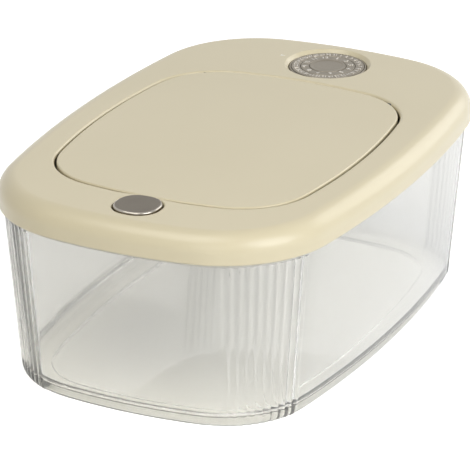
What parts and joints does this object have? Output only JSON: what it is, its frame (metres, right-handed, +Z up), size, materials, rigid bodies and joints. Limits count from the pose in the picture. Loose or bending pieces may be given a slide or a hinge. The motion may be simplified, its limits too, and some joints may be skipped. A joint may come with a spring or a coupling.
{
  "type": "rice bucket",
  "caption": "Low clear tapered rice bin with reeded corners, a lift-off cream lid, a flush flip door freed by a push button, and a ring date dial.",
  "frame": {"origin": "centre of the bucket's plan, on the plane its foot stands on", "axes": "+Z up, +Y to the back where the dial is, -Y to the front where the button is, +X to the right seen from the front"},
  "size_m": [0.24, 0.36, 0.136],
  "materials": {
    "clear_plastic": "clear moulded, glossy",
    "cream_plastic": "satin moulded cream",
    "white_plastic": "matt moulded off-white",
    "grey_plastic": "matt moulded grey",
    "silicone": "translucent silicone",
    "plated_metal": "brushed taupe plating",
    "steel": "bright drawn steel"
  },
  "bodies": {
    "bin": {"bin_body": "clear_plastic"},
    "lid": {"lid_shell": "cream_plastic", "lid_liner": "white_plastic", "lid_seal": "silicone", "hinge_pins": "steel", "door_spring_left": "steel", "door_spring_right": "steel", "button_springs": "steel", "latch_spring": "steel", "dial_base": "plated_metal", "dial_cap": "plated_metal", "dial_washer": "steel", "dial_screw": "steel"},
    "door": {"door_panel": "cream_plastic", "door_liner": "white_plastic", "door_seal": "silicone"},
    "button": {"button_cap": "plated_metal", "button_plunger": "grey_plastic"},
    "latch": {"latch_slide": "grey_plastic"},
    "day_dial": {"day_ring": "plated_metal"},
    "month_dial": {"month_ring": "plated_metal"}
  },
  "joints": [
    {"name": "lid_lift", "type": "slide", "parent": "bin", "child": "lid", "axis": [0, 0, 1], "range_m": [0, 0.08]},
    {"name": "door_swing", "type": "hinge", "parent": "lid", "child": "door", "pos_m": [0, 0.0853, 0.1332], "axis": [-1, 0, 0], "range_deg": [0, 85]},
    {"name": "button_press", "type": "slide", "parent": "lid", "child": "button", "axis": [0, 0, -1], "range_m": [0, 0.003], "stiffness_N_per_m": 500, "springref_m": -0.002, "deforming": ["button_springs"]},
    {"name": "latch_draw", "type": "slide", "parent": "lid", "child": "latch", "axis": [0, -1, 0], "range_m": [0, 0.003], "stiffness_N_per_m": 300, "springref_m": -0.002, "deforming": ["latch_spring"]},
    {"name": "day_ring_turn", "type": "hinge", "parent": "lid", "child": "day_dial", "pos_m": [0, 0.1353, 0.1324], "axis": [0, 0, 1], "continuous": true},
    {"name": "month_ring_turn", "type": "hinge", "parent": "lid", "child": "month_dial", "pos_m": [0, 0.1353, 0.1324], "axis": [0, 0, 1], "continuous": true}
  ],
  "couplings": [
    {"joint": "latch_draw", "follows": "button_press", "ratio": 1}
  ]
}
